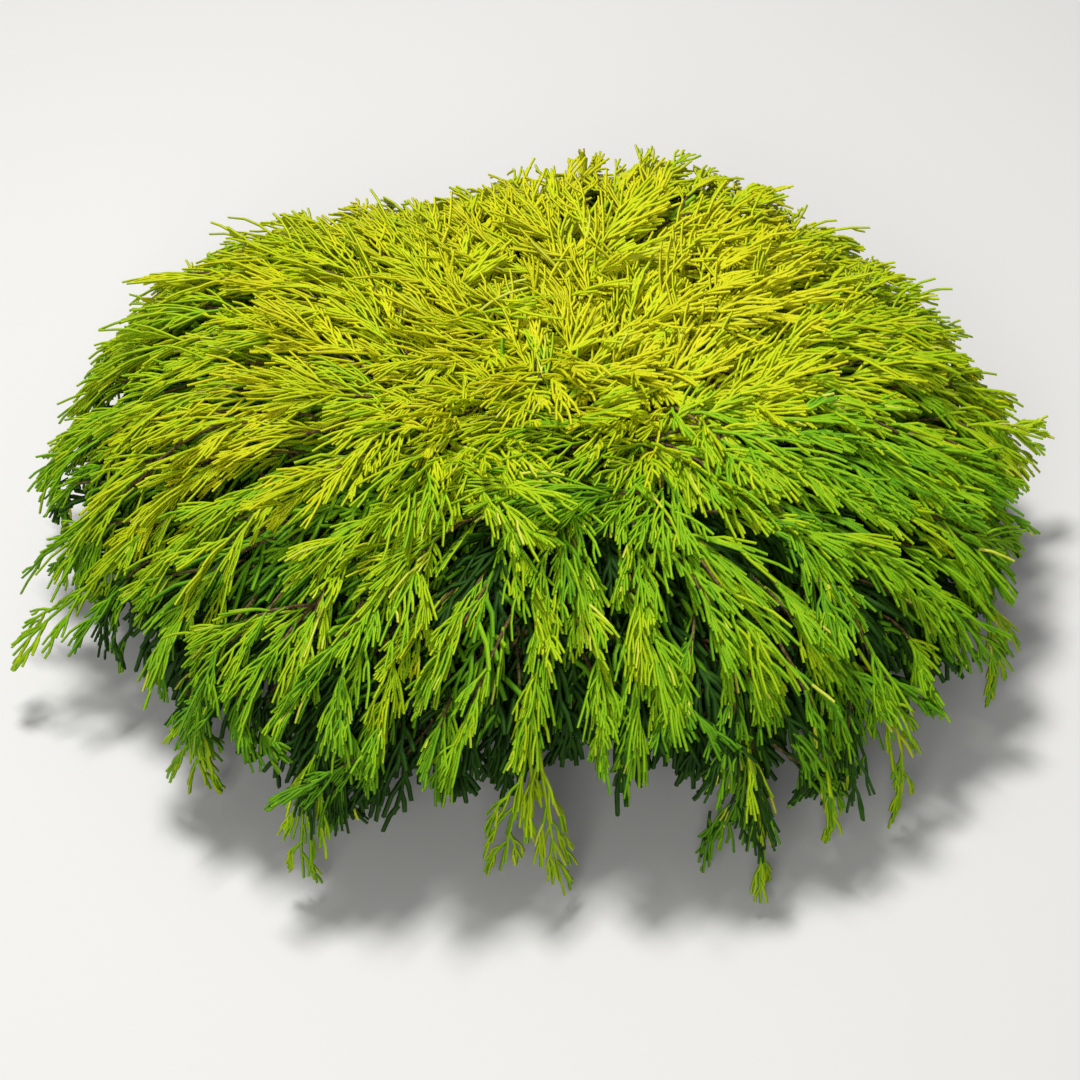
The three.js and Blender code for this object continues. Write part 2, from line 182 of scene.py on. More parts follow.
def newGroup(name, kind, inputs, outputs):
    group = bpy.data.node_groups.new(name, kind)
    for socketName, socketKind, value in inputs:
        socket = group.interface.new_socket(socketName, in_out="INPUT",
                                            socket_type="NodeSocket" + socketKind)
        if value is not None:
            socket.default_value = value
    for socketName, socketKind in outputs:
        group.interface.new_socket(socketName, in_out="OUTPUT",
                                   socket_type="NodeSocket" + socketKind)
    return group, group.nodes.new("NodeGroupInput"), group.nodes.new("NodeGroupOutput")


finishOutputs = [("Colour", "Color"), ("Roughness", "Float"), ("Normal", "Vector")]
# a Mix node's sockets that hold its colours and its share
mixShare, mixFirst, mixSecond, mixResult = 0, 6, 7, 2


def mixedFinish(group, entry, result, mix, share, shade, rough, height):
    # two of the inputs' colours mixed by a share and multiplied by a shade, a roughness and a
    # bump; share, shade, rough and height each are a node and its output
    colour = addNode(group, "ShaderNodeMix", data_type="RGBA")
    darken = addNode(group, "ShaderNodeMix", {mixShare: mix["shading"]}, data_type="RGBA",
                     blend_type="MULTIPLY")
    roughness = addNode(group, "ShaderNodeMapRange",
                        {"To Min": mix["roughness"][0], "To Max": mix["roughness"][1]})
    bump = addNode(group, "ShaderNodeBump", {"Distance": mix["depth"]})
    wire(group, [
        (*share, colour, mixShare),
        (entry, mix["colours"][0], colour, mixFirst),
        (entry, mix["colours"][1], colour, mixSecond),
        (colour, mixResult, darken, mixFirst),
        (*shade, darken, mixSecond),
        (darken, mixResult, result, "Colour"),
        (*rough, roughness, "Value"),
        (roughness, "Result", result, "Roughness"),
        (entry, "Relief", bump, "Strength"),
        (*height, bump, "Height"),
        (bump, "Normal", result, "Normal"),
    ])
    return group


def makeScaleLeafGroup():
    # colour drift along the cords, and the tiny overlapping scale leaves as a bump
    group, entry, result = newGroup("scaleLeaves", "ShaderNodeTree", [
        ("Colour", "Color", (0.4, 0.5, 0.05, 1)),
        ("Fresh Colour", "Color", (0.6, 0.6, 0.1, 1)),
        ("Drift Scale", "Float", 60.0),
        ("Scale Size", "Float", 900.0),
        ("Relief", "Float", 0.35),
    ], finishOutputs)
    place = addNode(group, "ShaderNodeTexCoord")
    drift = addNode(group, "ShaderNodeTexNoise", {"Detail": 3})
    scales = addNode(group, "ShaderNodeTexVoronoi")
    driftRange = addNode(group, "ShaderNodeMapRange", {"From Min": 0.35, "From Max": 0.68})
    shade = addNode(group, "ShaderNodeMapRange",
                    {"From Max": 0.75, "To Min": 1.15, "To Max": 0.55})
    wire(group, [
        (place, "Object", drift, "Vector"),
        (place, "Object", scales, "Vector"),
        (entry, "Drift Scale", drift, "Scale"),
        (entry, "Scale Size", scales, "Scale"),
        (drift, "Fac", driftRange, "Value"),
        (scales, "Distance", shade, "Value"),
    ])
    return mixedFinish(group, entry, result,
                       {"colours": ("Colour", "Fresh Colour"), "shading": 0.30,
                        "roughness": (0.48, 0.72), "depth": 0.0006},
                       share=(driftRange, "Result"), shade=(shade, "Result"),
                       rough=(drift, "Fac"), height=(scales, "Distance"))


def makeBarkGroup():
    # stringy bark: long grey-brown fibres with darker furrows
    group, entry, result = newGroup("stringyBark", "ShaderNodeTree", [
        ("Ridge Colour", "Color", (0.4, 0.3, 0.2, 1)),
        ("Furrow Colour", "Color", (0.1, 0.06, 0.04, 1)),
        ("Fibre Scale", "Float", 160.0),
        ("Relief", "Float", 0.7),
    ], finishOutputs)
    place = addNode(group, "ShaderNodeTexCoord")
    stretch = addNode(group, "ShaderNodeMapping", {"Scale": (1, 1, 0.22)})
    fibres = addNode(group, "ShaderNodeTexNoise", {"Detail": 5, "Distortion": 0.6})
    patches = addNode(group, "ShaderNodeTexNoise", {"Scale": 35})
    furrows = addNode(group, "ShaderNodeMapRange", {"From Min": 0.38, "From Max": 0.62})
    wire(group, [
        (place, "Object", stretch, "Vector"),
        (stretch, "Vector", fibres, "Vector"),
        (place, "Object", patches, "Vector"),
        (entry, "Fibre Scale", fibres, "Scale"),
        (fibres, "Fac", furrows, "Value"),
    ])
    return mixedFinish(group, entry, result,
                       {"colours": ("Furrow Colour", "Ridge Colour"), "shading": 0.5,
                        "roughness": (0.95, 0.75), "depth": 0.0012},
                       share=(furrows, "Result"), shade=(patches, "Color"),
                       rough=(furrows, "Result"), height=(fibres, "Fac"))


def plainMaterial(name, settings):
    material = bpy.data.materials.new(name)
    material.use_nodes = True
    shader = material.node_tree.nodes["Principled BSDF"]
    for socketName, value in settings.items():
        shader.inputs[socketName].default_value = value
    return material, shader


def groupedMaterial(name, group, values, settings):
    material, shader = plainMaterial(name, settings)
    finish = addNode(material.node_tree, "ShaderNodeGroup", values, node_tree=group)
    wire(material.node_tree, [(finish, "Colour", shader, "Base Color"),
                              (finish, "Roughness", shader, "Roughness"),
                              (finish, "Normal", shader, "Normal")])
    return material


# The cords' colours, from the shaded inside to the sunlit tips, with painted shade and light in them:
# the record's slot, the usual colour and the fresher one that it drifts to. Each spray gets one of
# them.
foliageTones = [
    # painted shade: the darkest green stands for the shade inside the crown as well as the foliage's
    # own deep green
    ("deepShadeGreen", "foliage_green", (28, 60, 8), (44, 82, 12)),
    ("midGreen", "foliage_green", (86, 142, 14), (106, 158, 16)),
    ("limeGreen", "foliage_green", (118, 170, 14), (140, 184, 16)),
    ("limeGold", "foliage_gold", (150, 184, 12), (168, 194, 14)),
    ("clearGold", "foliage_gold", (180, 196, 10), (192, 203, 14)),
    ("warmGold", "foliage_gold", (196, 198, 12), (206, 204, 24)),
    ("paleTip", "foliage_gold", (190, 202, 44), (202, 206, 78)),
]
foliageFinish = {"Specular IOR Level": 0.15}

scaleLeafGroup = makeScaleLeafGroup()
barkGroup = makeBarkGroup()
toneMaterials = [
    groupedMaterial(name, scaleLeafGroup,
                    {"Colour": linearColour(*base), "Fresh Colour": linearColour(*fresh)},
                    foliageFinish)
    for name, slotName, base, fresh in foliageTones
]
barkMaterial = groupedMaterial("agedBark", barkGroup, {
    "Ridge Colour": linearColour(150, 120, 96),
    "Furrow Colour": linearColour(70, 48, 36),
}, {"Specular IOR Level": 0.2})
twigMaterial = groupedMaterial("youngTwigs", barkGroup, {
    "Ridge Colour": linearColour(128, 106, 58),
    "Furrow Colour": linearColour(80, 62, 34),
    "Fibre Scale": 320.0,
    "Relief": 0.4,
}, {"Specular IOR Level": 0.25})
print("materials made")


# Geometry Nodes

def makeCordTree():
    # drawn lines become closed round cords, as thick as their "radius" says
    tree, entry, result = newGroup("cordsAlongLines", "GeometryNodeTree", [
        ("Geometry", "Geometry", None),
        ("Sides", "Int", 3),
        ("Waviness", "Float", 0.0),
        ("Wave Scale", "Float", 40.0),
        ("Relief", "Float", 0.0),
        ("Relief Scale", "Float", 300.0),
        ("Material", "Material", None),
    ], [("Geometry", "Geometry")])
    radius = addNode(tree, "GeometryNodeInputNamedAttribute", {"Name": "radius"},
                     data_type="FLOAT")
    wave = addNode(tree, "ShaderNodeTexNoise", normalize=False)
    sway = addNode(tree, "ShaderNodeVectorMath", operation="SCALE")
    bend = addNode(tree, "GeometryNodeSetPosition")
    lines = addNode(tree, "GeometryNodeMeshToCurve")
    section = addNode(tree, "GeometryNodeCurvePrimitiveCircle", {"Radius": 1})
    tube = addNode(tree, "GeometryNodeCurveToMesh", {"Fill Caps": True})
    position = addNode(tree, "GeometryNodeInputPosition")
    stretch = addNode(tree, "ShaderNodeVectorMath", {1: (1, 1, 0.3)}, operation="MULTIPLY")
    fibres = addNode(tree, "ShaderNodeTexNoise", {"Detail": 3}, normalize=False)
    lift = addNode(tree, "ShaderNodeMath", operation="MULTIPLY")
    normal = addNode(tree, "GeometryNodeInputNormal")
    push = addNode(tree, "ShaderNodeVectorMath", operation="SCALE")
    ridges = addNode(tree, "GeometryNodeSetPosition")
    shading = addNode(tree, "GeometryNodeSetShadeSmooth")
    realize = addNode(tree, "GeometryNodeRealizeInstances")
    paint = addNode(tree, "GeometryNodeSetMaterial")
    wire(tree, [
        (entry, "Geometry", bend, "Geometry"),
        (entry, "Wave Scale", wave, "Scale"),
        (wave, "Color", sway, "Vector"),
        (entry, "Waviness", sway, "Scale"),
        (sway, "Vector", bend, "Offset"),
        (bend, "Geometry", lines, "Mesh"),
        (lines, "Curve", tube, "Curve"),
        (radius, "Attribute", tube, "Scale"),
        (entry, "Sides", section, "Resolution"),
        (section, "Curve", tube, "Profile Curve"),
        (position, "Position", stretch, 0),
        (stretch, "Vector", fibres, "Vector"),
        (entry, "Relief Scale", fibres, "Scale"),
        (fibres, "Fac", lift, 0),
        (entry, "Relief", lift, 1),
        (normal, "Normal", push, "Vector"),
        (lift, "Value", push, "Scale"),
        (tube, "Mesh", ridges, "Geometry"),
        (push, "Vector", ridges, "Offset"),
        (ridges, "Geometry", shading, "Geometry"),
        (shading, "Geometry", realize, "Geometry"),
        (realize, "Geometry", paint, "Geometry"),
        (entry, "Material", paint, "Material"),
        (paint, "Geometry", result, "Geometry"),
    ])
    return tree


cordTree = makeCordTree()


def addObject(name, data):
    added = bpy.data.objects.new(name, data)
    bpy.context.scene.collection.objects.link(added)
    return added


def lineMesh(name, paths, radii):
    # paths: a list of arrays (lines, points, 3); radii to match
    mesh = bpy.data.meshes.new(name)
    points = np.concatenate([block.reshape(-1, 3) for block in paths])
    thickness = np.concatenate([block.reshape(-1) for block in radii])
    edges, start = [], 0
    for block in paths:
        lines, count = block.shape[:2]
        first = start + np.arange(lines)[:, None] * count + np.arange(count - 1)[None, :]
        edges.append(np.stack([first, first + 1], axis=-1).reshape(-1, 2))
        start += lines * count
    edges = np.concatenate(edges)
    mesh.vertices.add(len(points))
    mesh.vertices.foreach_set("co", points.astype(np.float32).ravel())
    mesh.edges.add(len(edges))
    mesh.edges.foreach_set("vertices", edges.astype(np.int32).ravel())
    attribute = mesh.attributes.new("radius", "FLOAT", "POINT")
    attribute.data.foreach_set("value", thickness.astype(np.float32))
    mesh.update()
    return mesh


def growCords(name, paths, radii, material, **settings):
    # runs the tree on the lines, and keeps its result as a plain mesh
    holder = addObject(name + "Lines", lineMesh(name + "Lines", paths, radii))
    modifier = holder.modifiers.new("cords", "NODES")
    modifier.node_group = cordTree
    values = {"Material": material, **settings}
    for item in cordTree.interface.items_tree:
        if item.item_type == "SOCKET" and item.in_out == "INPUT" and item.name in values:
            modifier[item.identifier] = values[item.name]
    graph = bpy.context.evaluated_depsgraph_get()
    mesh = bpy.data.meshes.new_from_object(holder.evaluated_get(graph))
    lines = holder.data
    bpy.data.objects.remove(holder)
    bpy.data.meshes.remove(lines)
    mesh.name = name
    return addObject(name, mesh)


# Trunk and boughs: the model's own limbs, with the bark's relief

barkShape = {
    "trunkSteps": 40,
    "boughSteps": 34,
    "trunkSides": 40,
    "boughSides": 16,
    "trunkRelief": 0.0011,
    "trunkReliefScale": 130.0,
    "boughRelief": 0.0004,
    "taper": 0.62,
    "stemRadii": (0.011, 0.0085, 0.005),
}
# As in the model: where a mass's heart lies, and how a bough leaves the trunk and comes in
# there, in shares of its run and of its rise.
coreDepth, coreThickness = 0.017, 0.040
boughCurve = {"heartDepth": 0.45, "leaving": (0.35, 0.3), "coming": (0.3, 0.18)}


def trunkAxis(height):
    share = height / trunkShape["profile"][-1][0]
    lean = trunkShape["lean"]
    return np.array([lean[0] * share ** 2, lean[1] * share ** 2, height])


def cells():
    # one entry for each mass: its ring, its middle azimuth and its own end
    for ring in rings.values():
        width = tau / ring["masses"]
        for index in range(ring["masses"]):
            middle = math.radians(ring["turn"]) + index * width
            end = min(ring["to"], float(roundThePlant(crownShape["denseEnd"], middle)))
            yield {"ring": ring, "index": index, "width": width, "middle": middle,
                   "from": ring["from"], "to": end, "alone": ring["masses"] == 1}


def bezier(start, first, second, end, steps):
    steps = steps[..., None]
    back = 1 - steps
    return (start * back ** 3 + 3 * first * back ** 2 * steps
            + 3 * second * back * steps ** 2 + end * steps ** 3)


def boughPoint(cell, share):
    # the bough's cubic curve from inside the trunk to the heart of its mass
    share = np.asarray(share, dtype=float)
    outward = np.array([math.cos(cell["middle"]), math.sin(cell["middle"]), 0])
    if cell["alone"]:
        start = trunkAxis(trunkShape["profile"][-1][0])
        heart = start * (1, 1, 0) + (0, 0, crownShape["top"] - coreDepth - coreThickness / 2)
        return start + (heart - start) * share[..., None]
    heart = placeOnCrown(np.float64(cell["middle"]), np.float64((cell["from"] + cell["to"]) / 2),
                         -coreDepth - coreThickness * boughCurve["heartDepth"])
    height = cell["ring"]["boughHeights"][cell["index"] % 2]
    start = trunkAxis(height)
    span = math.hypot(heart[0] - start[0], heart[1] - start[1])
    rise = heart[2] - height
    runOut, riseOut = boughCurve["leaving"]
    runIn, riseIn = boughCurve["coming"]
    first = start + outward * span * runOut + (0, 0, rise * riseOut)
    second = heart - outward * span * runIn - (0, 0, rise * riseIn)
    return bezier(start, first, second, heart, share)


def makeTrunk():
    heights = np.linspace(0, trunkShape["profile"][-1][0], barkShape["trunkSteps"])
    profile = np.array(trunkShape["profile"])
    radii = np.interp(heights, profile[:, 0], profile[:, 1])
    path = np.array([trunkAxis(height) for height in heights])
    trunk = growCords("trunkBark", [path[None]], [radii[None]], barkMaterial,
                      Sides=barkShape["trunkSides"], Relief=barkShape["trunkRelief"],
                      **{"Relief Scale": barkShape["trunkReliefScale"]})
    for vertex in trunk.data.vertices:
        vertex.co.z = max(vertex.co.z, 0)  # its foot stays flat on the ground
    return trunk


def makeBoughs():
    shares = np.linspace(0, 1, barkShape["boughSteps"])
    paths, radii = [], []
    for cell in cells():
        paths.append(boughPoint(cell, shares))
        if cell["alone"]:
            radii.append(np.interp(shares, (0, 0.5, 1), barkShape["stemRadii"]))
        else:
            radii.append(cell["ring"]["boughRadius"] * (1 - barkShape["taper"] * shares))
    return growCords("boughBark", [np.array(paths)], [np.array(radii)], barkMaterial,
                     Sides=barkShape["boughSides"], Relief=barkShape["boughRelief"])


trunkPiece = makeTrunk()
boughPiece = makeBoughs()
print("trunk and boughs made")


# Branchlets: from the last part of each bough they fan out under the foliage

branchletRule = {
    "seed": 5,
    "points": 7,
    "startShares": (0.66, 0.98),
    "depth": (0.040, 0.058),
    "radii": (0.0028, 0.0016),
    "spread": 0.88,
    "columnPlace": (0.25, 0.75),  # where in its column and row each one ends
    "rowPlace": (0.2, 0.8),
    "startScatter": 0.2,
    "leaving": 0.35,  # its handles, in shares of its reach
    "coming": 0.25,
    "sag": 0.12,
}


def growBranchlets():
    rule = branchletRule
    random = np.random.default_rng(rule["seed"])
    low, high = rule["startShares"]
    scatter, shareStep = rule["startScatter"], 0.02
    steps = np.linspace(0, 1, rule["points"])
    paths = []
    for cell in cells():
        rows, columns = cell["ring"]["twigRows"], cell["ring"]["twigColumns"]
        width = tau if cell["alone"] else cell["width"] * rule["spread"]
        for row in range(rows):
            for column in range(columns):
                across = (column + random.uniform(*rule["columnPlace"])) / columns - 0.5
                along = (row + random.uniform(*rule["rowPlace"])) / rows
                azimuth = np.float64(cell["middle"] + across * width)
                u = np.float64(cell["from"] + (cell["to"] - cell["from"]) * along)
                end = placeOnCrown(azimuth, u, -random.uniform(*rule["depth"]))
                place = min(along * (1 - scatter) + random.uniform(0, scatter), 1)
                share = low + (high - low) * place
                start = boughPoint(cell, share)
                ahead = normalised(start - boughPoint(cell, share - shareStep))
                reach = np.linalg.norm(end - start)
                first = start + ahead * reach * rule["leaving"]
                second = end - normalised(end - start) * reach * rule["coming"]
                second = second - (0, 0, reach * rule["sag"])
                paths.append(bezier(start, first, second, end, steps))
    return np.array(paths)


branchlets = growBranchlets()


# Plumes: each is a drooping twig with sprays on both sides. They are laid out on a flat map of
# the crown, where a point's distance from the middle is the way from the top along the surface.

# How far down each azimuth the outer foliage hangs, every 15 degrees, right side first: it is
# full behind, and open in front, where only some tongues of it hang past the rim.
hangEnd = [0.94, 1.12, 1.34, 1.42, 1.42, 1.42, 1.42, 1.42, 1.42, 1.42, 1.36, 1.22,
           1.06, 1.04, 0.78, 0.96, 0.90, 0.84, 0.78, 0.84, 0.92, 0.92, 0.90, 0.90]
# azimuth and half width in degrees, and where the tongue ends
tongues = [(218, 4.5, 1.30), (240, 4.5, 1.18), (299, 5.5, 1.28), (311, 4.5, 1.32), (333, 5, 1.12)]

outerPlumes = {
    "seed": 21,
    "hang": hangEnd,
    "tongues": tongues,
    "rowStep": 0.040,
    "firstRow": 0.3,  # how far from the top, in steps
    "width": 0.047,
    "jitter": (0.35, 0.50),  # of their places, in shares of the width and of the step
    "length": (0.110, 0.170),
    "shortest": 0.060,
    "rootDepth": (0.022, 0.050),
    "tipHeight": (-0.022, 0.000),
    "risePower": 0.7,
    "arch": 0.013,
    "droop": 0.013,
    "swing": 15,
    "topSwing": 140,
    "topArea": 0.19,
    "topShorter": 0.30,
    "topCloser": 0.25,
    "topSink": 0.020,  # how much lower they lie at the top, where their sprays stand up
    "sinkSpread": 1.4,  # the more, the wider the area where they lie that low
    "topClimb": 0.38,  # what their sprays rise there for their length
    "bend": 0.020,
    "sprays": 10,
    "sprayPoints": 6,
    "open": {"from": 0.12, "to": 0.50, "narrower": 0.50, "azimuth": 255, "elsewhere": 0.70,
             "fewer": 0.88},
    "missing": {"from": 0.12, "to": 0.50, "share": 0.32},
    "tone": 0.0,
    "topTone": 0.9,  # how much more golden they are at the top
}
innerPlumes = {
    **outerPlumes,
    "hang": [1.10, 1.24, 1.26, 1.26, 1.26, 1.26, 1.24, 1.08, 1.00, 0.95, 0.98, 0.98],
    "tongues": [],
    "rowStep": 0.043,
    "jitter": (0.12, 0.20),
    "swing": 9,
    "bend": 0.012,
    "rootDepth": (0.054, 0.080),
    "tipHeight": (-0.054, -0.028),
    "sprays": 8,
    "sprayPoints": 4,
    "open": {**outerPlumes["open"], "narrower": 0.0},
    "missing": {**outerPlumes["missing"], "share": 0.0},
    "topClimb": 0.12,
    # painted shade: the inner layer is dealt darker tones
    "tone": -2.0,
    "topTone": 1.2,
}
# the innermost: few, and dark with painted shade, so that no light falls through
heartPlumes = {
    **innerPlumes,
    "seed": 22,
    "hang": [1.02, 1.06, 1.06, 1.06, 1.06, 1.06, 1.04, 0.96, 0.90, 0.86, 0.90, 0.96],
    "rowStep": 0.060,
    "width": 0.060,
    "rootDepth": (0.094, 0.116),
    "tipHeight": (-0.094, -0.072),
    "sprays": 6,
    "sprayPoints": 3,
    "tone": -3.0,
    "topTone": 0.0,
}
sprayRule = {
    "length": (0.052, 0.085),
    "angle": (18, 40),
    "places": (0.06, 0.86),  # shares of the twig between which the sprays stand
    "placeJitter": 0.04,
    "placeEnds": (0.02, 0.95),
    "room": (0.85, 1.12),  # how much of the twig's length beyond it a spray may take
    "shortest": 0.026,
    "leastRoom": 0.034,
    "narrowShortens": 0.6,
    "follow": 0.45,  # how far a spray bends back to its twig's way
    "arch": 0.004,
    "risePower": 1.2,
    "keptFrom": 0.75,  # from this share of the twig on, every spray is kept
    "lift": (0.000, 0.006),  # mean and spread of how far a tip rises over its plume
    "climb": 0.09,  # what a spray rises besides, for its length
    # on the right, from this u down, the sprays stand out level in place of hanging
    "side": {"azimuth": 355, "halfWidth": 38, "from": 0.50, "to": 0.80, "climb": 0.30},
    "topTurn": 1.0,  # how much wider they stand apart near the top
    "spikes": 0.09,  # share of the sprays that stand out of the crown
    "spikeRise": 0.019,
    "radii": (0.00160, 0.00135),
    "terminalFrom": 0.50,
}
sideCords = {"count": 6, "from": 0.12, "to": 0.80, "length": (0.018, 0.060), "angle": (17, 34),
             "points": 4, "radii": (0.00150, 0.00125)}
subCords = {"count": 5, "from": 0.26, "to": 0.60, "length": (0.015, 0.028), "angle": (26, 42),
            "points": 3, "radii": (0.00140, 0.00120)}
innerCords = {**sideCords, "count": 4, "from": 0.14, "to": 0.90, "length": (0.028, 0.058),
              "angle": (24, 44), "points": 3, "radii": (0.00250, 0.00210)}
heartCords = {**innerCords, "count": 3, "length": (0.034, 0.066), "radii": (0.00340, 0.00280)}
cordRule = {
    "roll": 38,
    "follow": 0.40,
    "droop": 0.10,
    "jitter": 0.6,  # of its place, in shares of the gap to the next one
    "outward": 0.35,
    "longest": 1.15,  # at the root of the parent, and how much shorter towards its tip
    "shorten": 0.5,
    "fullSpan": 0.075,  # a parent this long has cords of full length
    "scale": (0.45, 1.15),
    "sides": 3,
    "waviness": 0.0014,
    "waveScale": 38.0,
}
trailerRule = {
    "turns": {262: 4, 271: -4},  # these two fork off one twig, so they start near each other
    "shorter": {12: 0.8, 87: 0.74, 137: 0.8},
    "rootBack": 0.14,
    "rootDepth": 0.022,
    "shoulderDepth": 0.004,
    "sag": 0.12,
    "roll": 25,
    # painted light: the trailers are dealt lighter tones for light shining through them, and more of
    # it at the back, where the light comes from
    "tone": 2.6,
    "paintedBacklight": 2.6,
    "forks": {"count": 6, "from": 0.24, "to": 0.86, "length": (0.040, 0.066), "angle": (20, 36),
              "points": outerPlumes["sprayPoints"], "pastTip": 0.006},
    "sideCords": {**sideCords, "count": 4, "from": 0.22, "length": (0.020, 0.036)},
    "subCords": 2,
}

edgeSpread = 0.022
# how far the cords may stand past the solids, and the room in which they are eased to that
outermost = {"past": (0.010, 0.010, 0.000), "room": (0.014, 0.014, 0.010)}
# azimuth and half width in degrees, and the hollow's depth in metres, negative for a swelling
hollows = [(100, 18, 0.014), (46, 15, 0.009), (150, 12, -0.003), (192, 16, 0.006), (350, 26, 0.013)]
hollowFullAt = 0.20  # how far out from the top they reach their depth
mapShape = {"azimuths": 120, "step": 0.005, "steps": 136, "deepest": 1.6, "shares": 641,
            "halvings": 18}


def makeCrownMap():
    # how far along the meridian each u lies, and the same the other way round
    azimuths = np.arange(mapShape["azimuths"]) / mapShape["azimuths"] * tau
    shares = np.linspace(0, mapShape["deepest"], mapShape["shares"])
    arcs = np.arange(mapShape["steps"]) * mapShape["step"]
    table = []
    for azimuth in azimuths:
        radius, z = meridian(np.full(len(shares), azimuth), shares)
        gone = np.concatenate([[0], np.cumsum(np.hypot(np.diff(radius), np.diff(z)))])
        table.append(np.interp(arcs, gone, shares))
    return np.array(table)


crownMap = makeCrownMap()


def uAtArc(azimuth, arc):
    column = azimuth / tau % 1 * len(crownMap)
    left = np.floor(column).astype(int) % len(crownMap)
    right = (left + 1) % len(crownMap)
    across = column - np.floor(column)
    row = np.clip(arc / mapShape["step"], 0, mapShape["steps"] - 1.001)  # just short of the last row
    below = row.astype(int)
    up = row - below
    before = crownMap[left, below] * (1 - up) + crownMap[left, below + 1] * up
    after = crownMap[right, below] * (1 - up) + crownMap[right, below + 1] * up
    return before * (1 - across) + after * across


def arcAtU(azimuth, u):
    low = np.zeros(np.shape(azimuth))
    high = np.full(np.shape(azimuth), mapShape["step"] * (mapShape["steps"] - 2))
    for _ in range(mapShape["halvings"]):
        middle = (low + high) / 2
        over = uAtArc(azimuth, middle) > u
        low, high = np.where(over, low, middle), np.where(over, middle, high)
    return (low + high) / 2


def polar(spots):
    # the azimuth and the way from the top of points on the map
    return np.arctan2(spots[..., 1], spots[..., 0]), np.hypot(spots[..., 0], spots[..., 1])


def fromPolar(azimuth, arc):
    return np.stack([np.cos(azimuth) * arc, np.sin(azimuth) * arc], axis=-1)


def mapToCrown(spots, height):
    azimuth, arc = polar(spots)
    sunk = sum(depth * bell(azimuth, middle, halfWidth) for middle, halfWidth, depth in hollows)
    sunk = sunk * ramp(arc, 0, hollowFullAt)
    return placeOnCrown(azimuth, uAtArc(azimuth, arc), height - sunk)


def turned(headings, degrees):
    angle = np.radians(degrees)
    cosine, sine = np.cos(angle), np.sin(angle)
    return np.stack([headings[..., 0] * cosine - headings[..., 1] * sine,
                     headings[..., 0] * sine + headings[..., 1] * cosine], axis=-1)


def hangArc(rule, azimuth):
    # how far out from the top the foliage may hang at each azimuth
    end = roundThePlant(rule["hang"], azimuth)
    for middle, halfWidth, tongueEnd in rule["tongues"]:
        end = end + np.maximum(tongueEnd - end, 0) * bell(azimuth, middle, halfWidth)
    return arcAtU(azimuth, end)


def plumeMiddles(rule, random):
    # rows round the top, each with as many plumes as its length holds
    spots = []
    aside, along = rule["jitter"]
    around = np.arange(len(hangEnd)) * tau / len(hangEnd)
    arc, row = rule["rowStep"] * rule["firstRow"], 0
    while arc < hangArc(rule, around).max():
        radius = np.mean(meridian(around, uAtArc(around, np.full(len(around), arc)))[0])
        closer = 1 - rule["topCloser"] * (arc < rule["topArea"])
        count = max(3, round(tau * radius / rule["width"] / closer))
        azimuth = (np.arange(count) + random.uniform(-aside, aside, count) + row / 2) / count * tau
        arcs = np.abs(arc + random.uniform(-along, along, count) * rule["rowStep"])
        kept = arcs < hangArc(rule, azimuth) - rule["shortest"] / 2
        spots.append(fromPolar(azimuth, arcs)[kept])
        arc, row = arc + rule["rowStep"] * closer, row + 1
    return np.concatenate(spots)


def frontShare(rule, azimuth):
    return np.clip(np.cos(azimuth - math.radians(rule["open"]["azimuth"])), 0, 1)


def openness(rule, azimuth, u):
    # the plumes get narrower down the crown, most of all in front, so that gaps show between them
    opening = rule["open"]
    down = ramp(u, opening["from"], opening["to"])
    return opening["narrower"] * down * (1 - opening["elsewhere"] * (1 - frontShare(rule, azimuth)))


def withoutMissing(rule, middles, random):
    # some plumes in front are left out, so that the darker inside, with its painted shade, shows
    # there
    azimuth, arc = polar(middles)
    u = uAtArc(azimuth, arc)
    missing = rule["missing"]
    front = frontShare(rule, azimuth) * (u > missing["from"]) * (u < missing["to"])
    return middles[random.random(len(middles)) > missing["share"] * front]


def topShare(rule, arc):
    # 1 at the top, down to 0 where its area ends
    return np.clip(1 - arc / rule["topArea"], 0, 1)


def growPlumes(rule, random):
    middles = withoutMissing(rule, plumeMiddles(rule, random), random)
    count = len(middles)
    azimuth, arc = polar(middles)
    nearTop = topShare(rule, arc)
    swing = rule["swing"] + (rule["topSwing"] - rule["swing"]) * nearTop
    heading = turned(middles / arc[:, None], random.normal(0, 1, count) * swing)
    length = random.uniform(*rule["length"], count) * (1 - rule["topShorter"] * nearTop)
    room = 2 * (hangArc(rule, azimuth) + random.normal(0, edgeSpread, count) - arc)
    length = np.maximum(np.minimum(length, room), rule["shortest"])
    sink = rule["topSink"] * smooth(np.minimum(nearTop * rule["sinkSpread"], 1))
    return {
        "rule": rule,
        "roots": middles - heading * (length / 2)[:, None],
        "heading": heading,
        "length": length,
        "bend": random.normal(0, rule["bend"], count),
        "depth": random.uniform(*rule["rootDepth"], count) + sink,
        "tip": random.uniform(*rule["tipHeight"], count) - sink,
        "mood": random.normal(0, 1, count),
        "droop": rule["droop"] * (1 - nearTop),
        "narrow": 1 - openness(rule, azimuth, uAtArc(azimuth, arc)),
    }


def plumeSpot(plumes, share):
    # the map point, the height and the heading at a share of each plume's twig
    aside = turned(plumes["heading"], 90)
    along = (plumes["length"] * share)[:, None]
    curve = (plumes["bend"] * share ** 2)[:, None]
    spot = plumes["roots"] + plumes["heading"] * along + aside * curve
    rise = (plumes["tip"] + plumes["depth"]) * share ** plumes["rule"]["risePower"]
    height = -plumes["depth"] + rise + plumes["rule"]["arch"] * np.sin(share * math.pi)
    height = height - plumes["droop"] * share ** 2
    slope = 2 * plumes["bend"] * share / plumes["length"]
    return spot, height, turned(plumes["heading"], np.degrees(np.arctan(slope)))


plumeTwig = {
    "end": 0.62,
    "pointsAlong": 5,
    "pointsBefore": 6,
    "radii": (0.0019, 0.0012),
    "sides": 4,
    "firstSample": 2,  # of the branchlet's points that it may grow from
    "leaving": 0.3,
    "coming": 0.45,
    "sag": 0.004,
}


